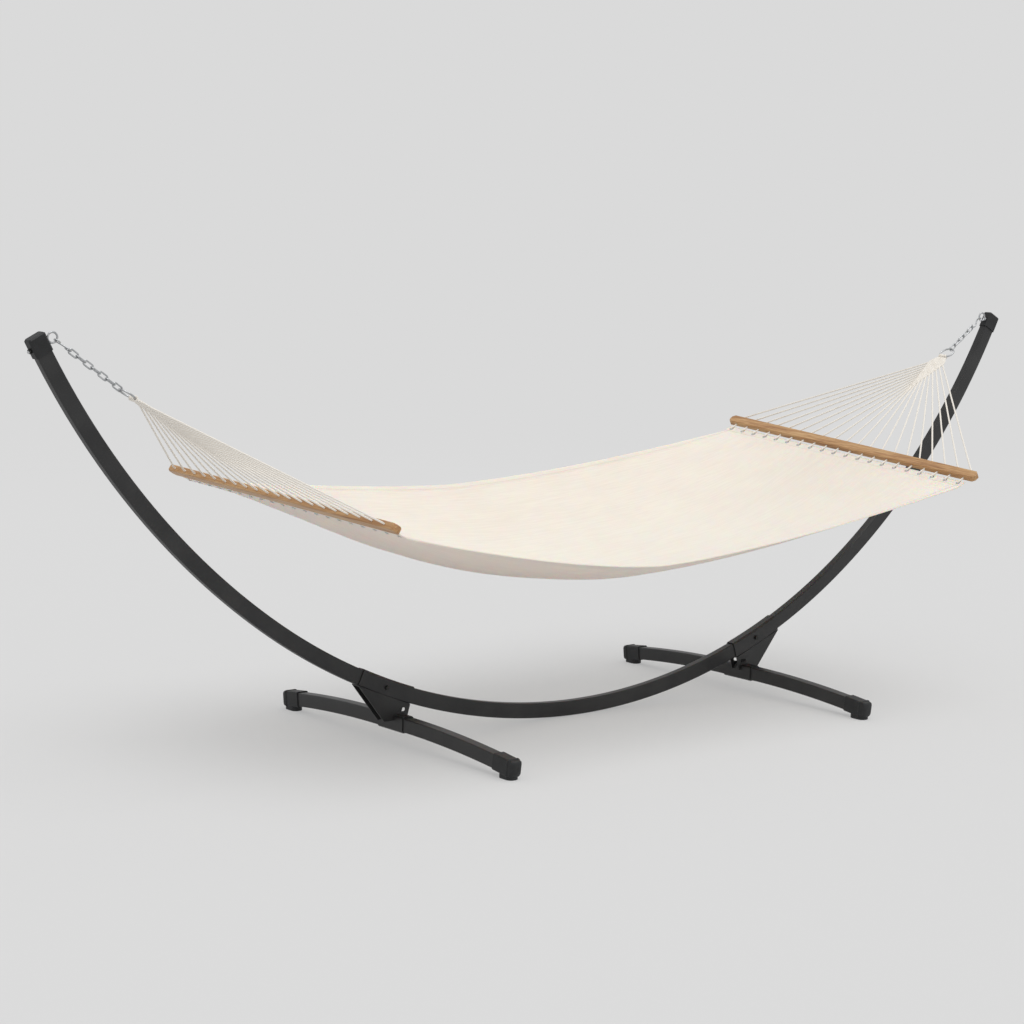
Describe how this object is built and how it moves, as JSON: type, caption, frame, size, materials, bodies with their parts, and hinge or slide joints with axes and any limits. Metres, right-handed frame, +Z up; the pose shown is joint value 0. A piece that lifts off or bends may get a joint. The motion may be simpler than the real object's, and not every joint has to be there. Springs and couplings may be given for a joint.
{
  "type": "canvas hammock with arc stand",
  "caption": "Free-standing hammock: a canvas bed between wooden spreader bars, hung by corded clews and chains from the tips of a bent steel arc on two crossbars.",
  "frame": {"origin": "on the floor, midway between the four foot caps", "axes": "+X along the hammock to the end with the shorter chain, +Y across it to the higher side of the bed, +Z up"},
  "size_m": [4.0806, 1.2174, 1.3142],
  "materials": {
    "powder_coat": "satin charcoal powder coat",
    "zinc_steel": "bright zinc plate",
    "black_plastic": "matt moulded",
    "hardwood": "clear satin varnish",
    "cotton_rope": "braided cotton",
    "canvas": "plain weave canvas"
  },
  "bodies": {
    "stand": {"arc_tube_centre": "powder_coat", "arc_tube_left": "powder_coat", "arc_tube_right": "powder_coat", "bracket_left": "powder_coat", "bracket_right": "powder_coat", "bracket_bolts": "zinc_steel", "bracket_nuts": "zinc_steel", "crossbar_left_front": "powder_coat", "crossbar_left_back": "powder_coat", "crossbar_right_front": "powder_coat", "crossbar_right_back": "powder_coat", "crossbar_screws": "zinc_steel", "foot_cap_left_front": "black_plastic", "foot_cap_left_back": "black_plastic", "foot_cap_right_front": "black_plastic", "foot_cap_right_back": "black_plastic", "tip_cap_left": "black_plastic", "tip_cap_right": "black_plastic", "eye_bolt_left": "zinc_steel", "eye_bolt_right": "zinc_steel", "eye_bolt_nuts": "zinc_steel"},
    "sling": {"hook_left": "zinc_steel", "hook_right": "zinc_steel", "chain_left": "zinc_steel", "chain_right": "zinc_steel", "clew_ring_left": "zinc_steel", "clew_ring_right": "zinc_steel", "clew_left": "cotton_rope", "clew_right": "cotton_rope", "spreader_bar_left": "hardwood", "spreader_bar_right": "hardwood", "canvas_bed": "canvas"}
  },
  "joints": [
    {"name": "hammock_swing", "type": "hinge", "parent": "stand", "child": "sling", "pos_m": [0, 0, 1.28724], "axis": [1, 0, 0], "range_deg": [-25, 25]}
  ]
}
